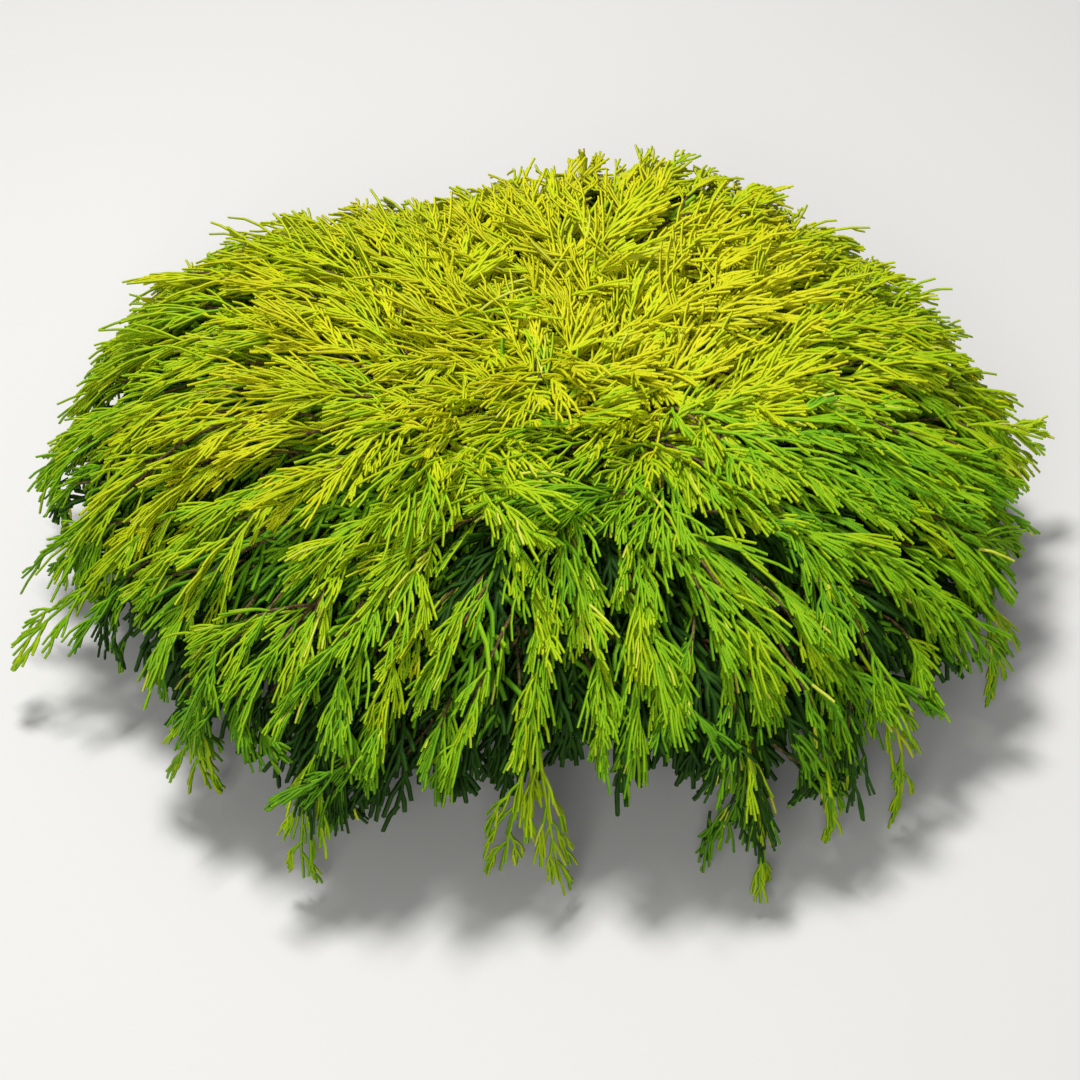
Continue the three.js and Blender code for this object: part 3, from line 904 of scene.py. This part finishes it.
def growPlumeTwigs(plumes):
    # from the nearest branchlet to the plume's root, then along the plume
    samples = branchlets[:, plumeTwig["firstSample"]:].reshape(-1, 3)
    onPlume = []
    for share in np.linspace(0, plumeTwig["end"], plumeTwig["pointsAlong"]):
        spot, height, _ = plumeSpot(plumes, np.full(len(plumes["length"]), share))
        onPlume.append(mapToCrown(spot, height))
    onPlume = np.stack(onPlume, axis=1)
    roots = onPlume[:, 0]
    gaps = np.linalg.norm(roots[:, None] - samples[None], axis=-1)
    start = samples[gaps.argmin(axis=1)][:, None]
    ahead = normalised(onPlume[:, 1] - roots)[:, None]
    reach = np.linalg.norm(roots[:, None] - start, axis=-1, keepdims=True)
    steps = np.linspace(0, 1, plumeTwig["pointsBefore"])[None, :-1]
    way = normalised(roots[:, None] - start)
    first = start + way * reach * plumeTwig["leaving"] - (0, 0, plumeTwig["sag"])
    second = roots[:, None] - ahead * reach * plumeTwig["coming"]
    lead = bezier(start, first, second, roots[:, None], steps)
    return np.concatenate([lead, onPlume], axis=1)


# Colours are dealt out by spray, partly the foliage's own and partly painted light and shade: gold
# where the crown faces the light from above and behind, lime over the shoulders, green on the right,
# in front and inside

toneRule = {
    # painted light and shade: the light's way, the tone where the crown faces away from it, and how
    # much more golden it gets where it faces it
    "sun": (0.05, 0.56, 0.82),
    "shade": 0.75,
    "gain": 4.0,
    "power": 1.25,
    "right": 0.5,
    "mood": 0.35,
    "towardsTip": 0.7,
    "scatter": 0.24,
    "mainCords": (-0.4, 0.16),  # change of tone and scatter of each kind of cord
    "sideCords": (0.0, 0.22),
    "subCords": (0.2, 0.26),
    "paleShare": 0.018,
    "paleSubCords": 2,  # times as many of them are pale
    # azimuth in degrees, u, size in metres and tone: more golden on top to the right, on the left
    # shoulder and low down in front, and greener in front of the top and on the right
    "patches": [(25, 0.24, 0.13, 0.8), (190, 0.34, 0.08, 0.8), (188, 0.52, 0.07, 0.5),
                (173, 0.66, 0.08, -0.6), (268, 0.30, 0.09, -1.3), (262, 0.72, 0.12, 0.8),
                (290, 0.56, 0.07, 0.5), (308, 0.31, 0.07, -0.8), (318, 0.46, 0.07, -0.5),
                (325, 0.72, 0.08, 0.7), (344, 0.37, 0.10, -1.7)],
}


# painted light and shade: a spray is more golden where the crown faces the light, and greener where
# it faces away
def sunTone(spot):
    ground = mapToCrown(spot, np.zeros(len(spot)))
    above = 0.01
    facing = normalised(mapToCrown(spot, np.full(len(spot), above)) - ground)
    light = np.clip(facing @ normalised(np.array(toneRule["sun"])), 0, 1)
    side = np.clip(ground[:, 0] / max(crownShape["reach"]), 0, 1)
    tone = toneRule["shade"] + toneRule["gain"] * light ** toneRule["power"]
    tone = tone - toneRule["right"] * side
    for degrees, u, size, change in toneRule["patches"]:
        azimuth = np.float64(math.radians(degrees))
        middle = fromPolar(azimuth, arcAtU(azimuth, u))
        tone += change * np.exp(-(np.linalg.norm(spot - middle, axis=-1) / size) ** 2)
    return tone


def sideClimb(plumes):
    side = sprayRule["side"]
    azimuth, arc = polar(plumes["roots"])
    down = ramp(uAtArc(azimuth, arc), side["from"], side["to"])
    return side["climb"] * down * bell(azimuth, side["azimuth"], side["halfWidth"])


def eitherHand(random, count):
    return np.where(random.random(count) < 0.5, 1, -1)


def growPlumeSprays(plumes, random):
    # sprays leave the twig left and right in turn, and the last one carries it on
    rule, narrow = plumes["rule"], plumes["narrow"]
    count = len(plumes["length"])
    places = np.linspace(*sprayRule["places"], rule["sprays"] - 1)
    steps = np.linspace(0, 1, rule["sprayPoints"])
    azimuth, arc = polar(plumes["roots"])
    nearTop = topShare(rule, arc)
    climb = sprayRule["climb"] + (rule["topClimb"] - sprayRule["climb"]) * nearTop
    climb = climb + sideClimb(plumes)
    jitter, shorter = sprayRule["placeJitter"], sprayRule["narrowShortens"]
    paths, tones = [], []
    firstHand = eitherHand(random, count)
    for index, place in enumerate([*places, sprayRule["terminalFrom"]]):
        terminal = index == len(places)
        share = place + random.uniform(-jitter, jitter, count)
        share = np.clip(share, *sprayRule["placeEnds"])
        spot, height, heading = plumeSpot(plumes, share)
        hand = firstHand * (1 if index % 2 else -1)
        angle = random.uniform(*sprayRule["angle"], count) * (0 if terminal else 1) * hand
        angle = angle * narrow * (1 + sprayRule["topTurn"] * nearTop)
        room = plumes["length"] * (1 - share) * random.uniform(*sprayRule["room"], count)
        length = random.uniform(*sprayRule["length"], count)
        length = length * (1 - shorter + shorter * narrow)
        most = np.maximum(room, sprayRule["leastRoom"])
        length = room if terminal else np.clip(length, sprayRule["shortest"], most)
        way = turned(heading, angle)
        follow = (heading - way) * sprayRule["follow"]
        rise = random.normal(*sprayRule["lift"], count)
        rise = rise + sprayRule["spikeRise"] * (random.random(count) < sprayRule["spikes"])
        line = way[:, None] * steps[:, None] + follow[:, None] * (steps ** 2)[:, None]
        tip = height + rise + climb * length
        heights = height[:, None] + (tip - height)[:, None] * steps ** sprayRule["risePower"]
        heights = heights + sprayRule["arch"] * np.sin(steps * math.pi)
        kept = random.random(count) > (1 - narrow) * rule["open"]["fewer"]
        kept = kept | (share > sprayRule["keptFrom"]) | terminal
        paths.append(mapToCrown(spot[:, None] + line * length[:, None, None], heights)[kept])
        tone = sunTone(spot) + plumes["mood"] * toneRule["mood"]
        tone = tone + (share - 0.5) * toneRule["towardsTip"]
        tones.append((tone + rule["tone"] + rule["topTone"] * nearTop)[kept])
    return np.concatenate(paths), np.concatenate(tones)


def pointsAt(paths, share):
    # points and directions at a share of each path
    place = np.clip(share, 0, 0.999) * (paths.shape[1] - 1)  # just short of the last point
    index = place.astype(int)
    part = (place - index)[..., None]
    row = np.arange(len(paths)).reshape((-1,) + (1,) * (np.ndim(share) - 1))
    before, after = paths[row, index], paths[row, index + 1]
    return before + (after - before) * part, normalised(after - before)


def growCordsOn(parents, rule, hand, roll, scale, random):
    # side cords left and right in turn, which bend back towards their parent's way
    parentCount, count = len(parents), rule["count"]
    slots = (np.arange(count) + 0.5) / count
    share = rule["from"] + (rule["to"] - rule["from"]) * slots
    astray = random.uniform(-0.5, 0.5, (parentCount, count)) / count
    share = share[None, :] + astray * cordRule["jitter"]
    starts, tangents = pointsAt(parents, share)
    outward = normalised(starts * (1, 1, 0)) * cordRule["outward"]
    upward = normalised(outward + np.array([0, 0, 1]))
    across = normalised(np.cross(tangents, upward))
    over = normalised(np.cross(across, tangents))
    hand = hand[:, None] * np.where(np.arange(count) % 2, 1, -1)
    sideways = (across * (np.cos(roll)[:, None] * hand)[..., None]
                + over * (np.sin(roll)[:, None] * hand)[..., None])
    lengths = random.uniform(*rule["length"], (parentCount, count))
    lengths = lengths * (cordRule["longest"] - cordRule["shorten"] * share) * scale[:, None]
    if "pastTip" in rule:
        whole = np.linalg.norm(np.diff(parents, axis=1), axis=-1).sum(axis=1)
        lengths = np.minimum(lengths, (1 - share) * whole[:, None] + rule["pastTip"])
    lengths = lengths[..., None, None]
    angles = np.radians(random.uniform(*rule["angle"], (parentCount, count)))[..., None]
    heading = tangents * np.cos(angles) + sideways * np.sin(angles)
    turn = (tangents - heading) * cordRule["follow"] - np.array([0, 0, cordRule["droop"]])
    steps = np.linspace(0, 1, rule["points"])[:, None]
    return starts[..., None, :] + lengths * (heading[..., None, :] * steps
                                             + turn[..., None, :] * steps ** 2)


def growTrailers(random):
    # one long twig runs to each trailer's tip, with forks left and right of it
    paths = []
    for degrees, reach, tipHeight in trailers:
        azimuth = np.float64(math.radians(degrees))
        start = azimuth + math.radians(trailerRule["turns"].get(degrees, 0))
        end = roundThePlant(crownShape["denseEnd"], azimuth)
        root = placeOnCrown(start, end - trailerRule["rootBack"], -trailerRule["rootDepth"])
        shoulder = placeOnCrown(start, end, -trailerRule["shoulderDepth"])
        outward = np.array([math.cos(azimuth), math.sin(azimuth), 0])
        tip = outward * reach + (0, 0, tipHeight)
        tip = shoulder + (tip - shoulder) * trailerRule["shorter"].get(degrees, 1)
        sag = outward * trailerRule["sag"] * np.linalg.norm(tip - shoulder)
        corners = np.array([root, shoulder, (shoulder + tip) / 2 + sag, tip])
        place = np.linspace(0, len(corners) - 1, outerPlumes["sprayPoints"])
        index = np.minimum(place.astype(int), len(corners) - 2)
        part = (place - index)[:, None]
        paths.append(corners[index] * (1 - part) + corners[index + 1] * part)
    paths = np.array(paths)
    for _ in range(2):  # rounds the corners
        paths[:, 1:-1] = (paths[:, :-2] + 2 * paths[:, 1:-1] + paths[:, 2:]) / 4
    count = len(paths)
    hand = eitherHand(random, count)
    roll = np.radians(random.normal(0, trailerRule["roll"], count))
    forks = growCordsOn(paths, trailerRule["forks"], hand, roll, np.ones(count), random)
    return np.concatenate([paths, forks.reshape(-1, outerPlumes["sprayPoints"], 3)])


def growFoliage():
    # the plumes' layers from outside in, and every kind of cord on them and on the trailers
    random = np.random.default_rng(outerPlumes["seed"])
    outer = growPlumes(outerPlumes, random)
    inner = growPlumes(innerPlumes, random)
    trailing = growTrailers(random)
    heartRandom = np.random.default_rng(heartPlumes["seed"])
    heart = growPlumes(heartPlumes, heartRandom)
    # painted light: the further back a trailer lies, the lighter its tone, as if lit through from
    # behind
    behind = np.clip(trailing[:, 0, 1] / max(crownShape["reach"]), 0, 1)
    trailingTones = trailerRule["tone"] + trailerRule["paintedBacklight"] * behind
    layers = [
        (*growPlumeSprays(outer, random), sideCords, subCords["count"], toneRule["paleShare"]),
        (*growPlumeSprays(inner, random), innerCords, 0, 0),
        (trailing, trailingTones, trailerRule["sideCords"], trailerRule["subCords"],
         toneRule["paleShare"]),
        (*growPlumeSprays(heart, heartRandom), heartCords, 0, 0),
    ]
    return {"plumes": [outer, inner, heart], "kinds": growKinds(layers, random), "random": random}


def growKinds(layers, random):
    # each kind of cord: its lines, its radii, its tones and their scatter, and how many are pale
    kinds = []

    def addKind(kind, lines, radii, tone, pale):
        change, scatter = toneRule[kind]
        kinds.append((lines, radii, tone + change, scatter, pale))

    for mains, moods, side, few, pale in layers:
        count = len(mains)
        tone = moods + random.normal(0, toneRule["scatter"], count)
        hand = eitherHand(random, count)
        roll = np.radians(random.normal(0, cordRule["roll"], count))
        span = np.linalg.norm(mains[:, -1] - mains[:, 0], axis=-1)
        scale = np.clip(span / cordRule["fullSpan"], *cordRule["scale"])
        sides = growCordsOn(mains, side, hand, roll, scale, random)
        addKind("mainCords", mains, sprayRule["radii"] if few else side["radii"], tone, 0)
        addKind("sideCords", sides.reshape(-1, side["points"], 3), side["radii"],
                np.repeat(tone, side["count"]), pale)
        if few:
            parents = sides[:, :few].reshape(-1, side["points"], 3)
            subHand = (hand[:, None] * np.where(np.arange(few) % 2, 1, -1)).reshape(-1)
            subs = growCordsOn(parents, {**subCords, "count": 1}, subHand, np.repeat(roll, few),
                               np.repeat(scale, few), random)
            addKind("subCords", subs.reshape(-1, subCords["points"], 3), subCords["radii"],
                    np.repeat(tone, few), pale * toneRule["paleSubCords"])
    return kinds


taperPower = 1.5  # the more, the longer a cord keeps its thickness
lowestCord = 0.004  # no cord's line comes nearer to the ground


def tapered(radii, lines):
    thin = np.linspace(0, 1, lines.shape[1]) ** taperPower
    return np.broadcast_to(radii[0] + (radii[1] - radii[0]) * thin, lines.shape[:2])


def keepInReach(lines):
    # eases the few tips that would stand out too far back to the plant's own reach, and keeps
    # all lines off the ground
    for axis in range(3):
        past, room = outermost["past"][axis], outermost["room"][axis]
        over = np.clip(lines[..., axis] - cadBox[1][axis] - past, 0, None)
        lines[..., axis] += room * np.tanh(over / room) - over
        if axis < 2:
            under = np.clip(cadBox[0][axis] - past - lines[..., axis], 0, None)
            lines[..., axis] -= room * np.tanh(under / room) - under
    lines[..., 2] = np.maximum(lines[..., 2], lowestCord)


def dealByTone(foliage):
    # every cord goes to one colour's list, near its own spray's tone
    random = foliage["random"]
    palest = len(foliageTones) - 1
    dealt = [{"paths": [], "radii": []} for _ in foliageTones]
    for lines, radii, tone, spread, pale in foliage["kinds"]:
        tone = tone + random.normal(0, spread, len(lines))
        tone = np.clip(np.round(tone), 0, palest - 1).astype(int)
        tone[random.random(len(lines)) < pale] = palest
        keepInReach(lines)
        thickness = tapered(radii, lines)
        for index in range(len(foliageTones)):
            chosen = tone == index
            dealt[index]["paths"].append(lines[chosen])
            dealt[index]["radii"].append(thickness[chosen])
    return dealt


def trianglesOf(block):
    lines, points = block.shape[:2]
    sides = cordRule["sides"]
    return lines * ((points - 1) * sides * 2 + 2 * (sides - 2))


mostTriangles = 190000


def growTone(index, dealt):
    # one colour's cords, in as many pieces as the triangle limit asks
    total = sum(trianglesOf(block) for block in dealt["paths"])
    pieces = max(1, math.ceil(total / mostTriangles))
    made = []
    for part in range(pieces):
        paths = [block[part::pieces] for block in dealt["paths"]]
        radii = [block[part::pieces] for block in dealt["radii"]]
        name = f"sprays_{foliageTones[index][0]}_{part + 1}"
        made.append(growCords(name, paths, radii, toneMaterials[index],
                              Sides=cordRule["sides"], Waviness=cordRule["waviness"],
                              **{"Wave Scale": cordRule["waveScale"]}))
    return made


foliage = growFoliage()
dealt = dealByTone(foliage)
print("plumes from outside in", [len(layer["length"]) for layer in foliage["plumes"]])

plumeTwigs = np.concatenate([growPlumeTwigs(layer) for layer in foliage["plumes"]])
twigRadii = [tapered(branchletRule["radii"], branchlets), tapered(plumeTwig["radii"], plumeTwigs)]
twigPiece = growCords("twigs", [branchlets, plumeTwigs], twigRadii, twigMaterial,
                      Sides=plumeTwig["sides"])
foliagePieces = []
for toneIndex, toneCords in enumerate(dealt):
    foliagePieces += growTone(toneIndex, toneCords)
triangles = {piece.name: sum(len(face.vertices) - 2 for face in piece.data.polygons)
             for piece in [trunkPiece, boughPiece, twigPiece, *foliagePieces]}
print("triangles", triangles, sum(triangles.values()))

massNodes = [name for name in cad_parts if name.startswith("foliage_")]
boughNodes = [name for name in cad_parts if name.startswith("bough_")]
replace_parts(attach(trunkPiece, "root"), "trunk")
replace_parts(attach(boughPiece, "root"), *boughNodes)
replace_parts(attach(twigPiece, "root"), *massNodes)
for piece in foliagePieces:
    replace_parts(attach(piece, "root"), *massNodes)


# Floor, light and camera

studio = {
    "floorSize": 14.0,
    "floorFinish": {"Base Color": (0.62, 0.61, 0.59, 1), "Roughness": 0.9},
    "worldColour": (0.95, 0.97, 1.0, 1),
    "worldStrength": 0.24,
    # name, place, size and power
    "lamps": [("keyLight", (-0.5, 0.45, 2.9), 0.6, 95.0),
              ("fillLight", (-0.4, -2.6, 2.0), 1.2, 36.0)],
    "lampsAim": (0, 0, 0.15),
}
photoView = {
    "target": (0.0, 0.0, 0.285),  # the plant's top, which the photo shows at pixel (562, 345)
    "targetPixel": (562, 345),
    "photoSize": 1080,
    "elevation": 42.0,
    "distance": 2.2,
    "sensor": 36.0,
    "lens": 91.67,
}


def makeFloor():
    mesh = bpy.data.meshes.new("floor")
    half = studio["floorSize"] / 2
    mesh.from_pydata([(-half, -half, 0), (half, -half, 0), (half, half, 0), (-half, half, 0)],
                     [], [(0, 1, 2, 3)])
    mesh.materials.append(plainMaterial("paleFloor", studio["floorFinish"])[0])
    floor = addObject("floor", mesh)


def makeAreaLight(name, place, size, power):
    light = bpy.data.lights.new(name, "AREA")
    light.size = size
    light.energy = power
    lamp = addObject(name, light)
    lamp.location = place
    aim = Vector(studio["lampsAim"]) - Vector(place)
    lamp.rotation_euler = aim.to_track_quat("-Z", "Y").to_euler()


def makeWorld():
    world = bpy.data.worlds.new("studioAir")
    world.use_nodes = True
    background = world.node_tree.nodes["Background"]
    background.inputs["Color"].default_value = studio["worldColour"]
    background.inputs["Strength"].default_value = studio["worldStrength"]
    bpy.context.scene.world = world


def makeCamera():
    # the eye looks down on the plant; the view is turned so that the top falls on its pixel
    elevation = math.radians(photoView["elevation"])
    back = Vector((0, -math.cos(elevation), math.sin(elevation)))
    eye = Vector(photoView["target"]) + back * photoView["distance"]
    data = bpy.data.cameras.new("photoCamera")
    data.sensor_width = photoView["sensor"]
    data.lens = photoView["lens"]
    camera = addObject("photoCamera", data)
    camera.location = eye
    halfFrame = photoView["photoSize"] / 2
    perPixel = photoView["sensor"] / photoView["photoSize"] / photoView["lens"]
    right = (photoView["targetPixel"][0] - halfFrame) * perPixel
    above = math.atan((halfFrame - photoView["targetPixel"][1]) * perPixel)
    turn = math.asin(right * math.cos(above) / math.cos(elevation))
    camera.rotation_euler = (math.pi / 2 - elevation - above, 0, turn)
    bpy.context.scene.camera = camera


makeFloor()
for lamp in studio["lamps"]:
    makeAreaLight(*lamp)
makeWorld()
makeCamera()
bpy.context.scene.view_settings.view_transform = "Standard"
print("floor, light and camera made")
